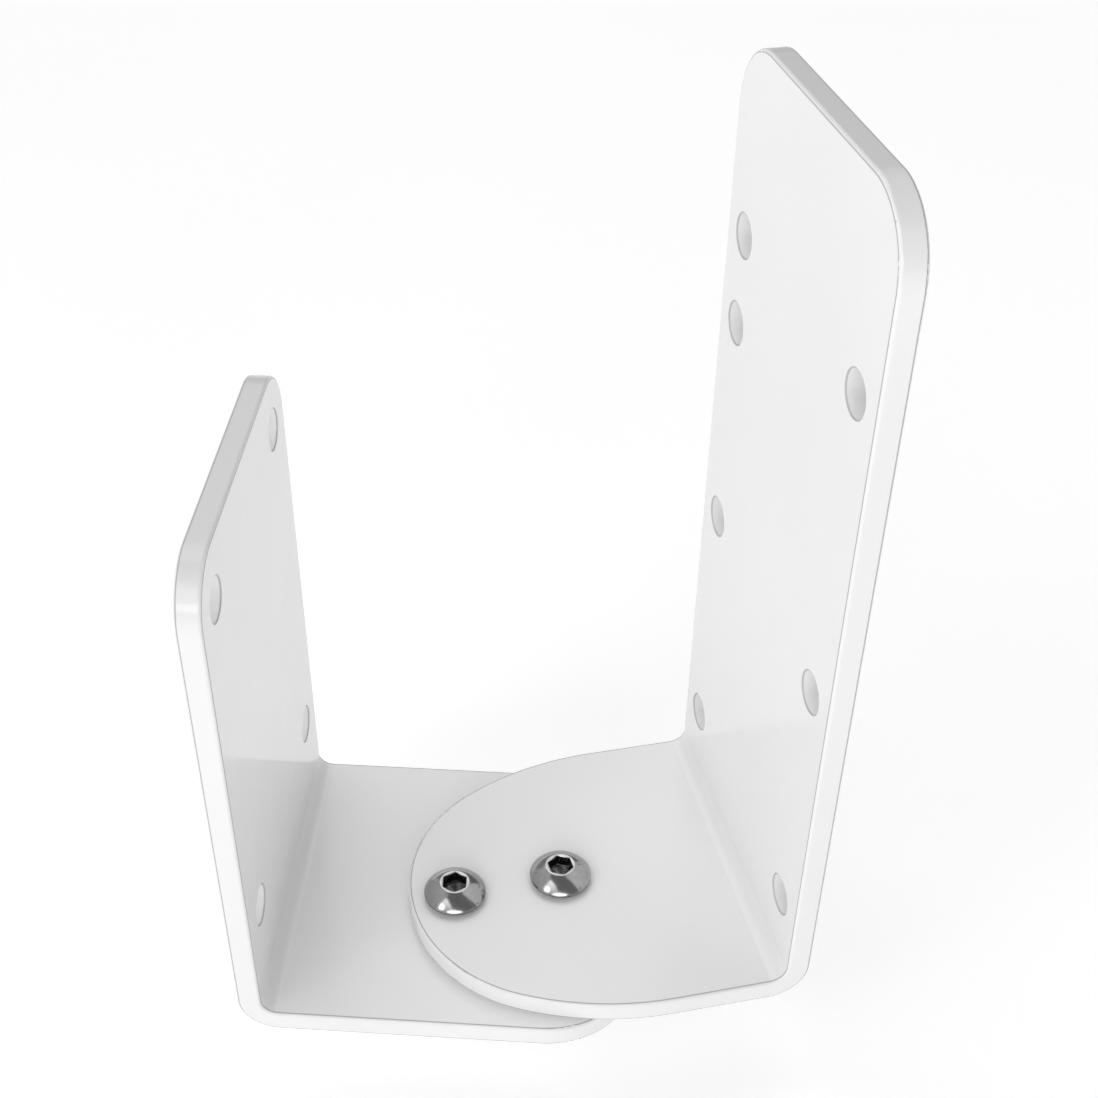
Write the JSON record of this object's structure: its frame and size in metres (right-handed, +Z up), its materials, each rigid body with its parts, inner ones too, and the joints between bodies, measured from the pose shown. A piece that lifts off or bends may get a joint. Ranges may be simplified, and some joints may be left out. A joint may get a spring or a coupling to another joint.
{
  "type": "swivelling bow bracket",
  "caption": "Two white L-shaped plates joined at overlapping flanges by a pivot screw and a lock screw, so that the tall bolt-on plate swivels against the short one.",
  "frame": {"origin": "centre of the four fixing holes on the outer face of the short plate, which is the face that bolts to the boat", "axes": "+X out of the short plate's inner face, along the lower flange to the pivot; +Z up, along the pivot axis"},
  "size_m": [0.1197, 0.0869, 0.2],
  "materials": {
    "white_powder_coat": "semi-gloss white powder coat over aluminium",
    "polished_stainless": "polished stainless steel",
    "plain_stainless": "plain stainless steel",
    "nylon": "natural nylon"
  },
  "bodies": {
    "fixed_bracket": {"lower_bracket": "white_powder_coat", "pivot_screw": "polished_stainless", "pivot_washer": "plain_stainless", "pivot_nut": "plain_stainless", "pivot_nut_insert": "nylon"},
    "swivel_bracket": {"upper_bracket": "white_powder_coat", "lock_screw": "polished_stainless", "lock_washer": "plain_stainless", "lock_nut": "plain_stainless", "lock_nut_insert": "nylon"}
  },
  "joints": [
    {"name": "swivel", "type": "hinge", "parent": "fixed_bracket", "child": "swivel_bracket", "pos_m": [0.066, 0, -0.063], "axis": [0, 0, 1], "range_deg": [-46.25, 13.75]}
  ]
}
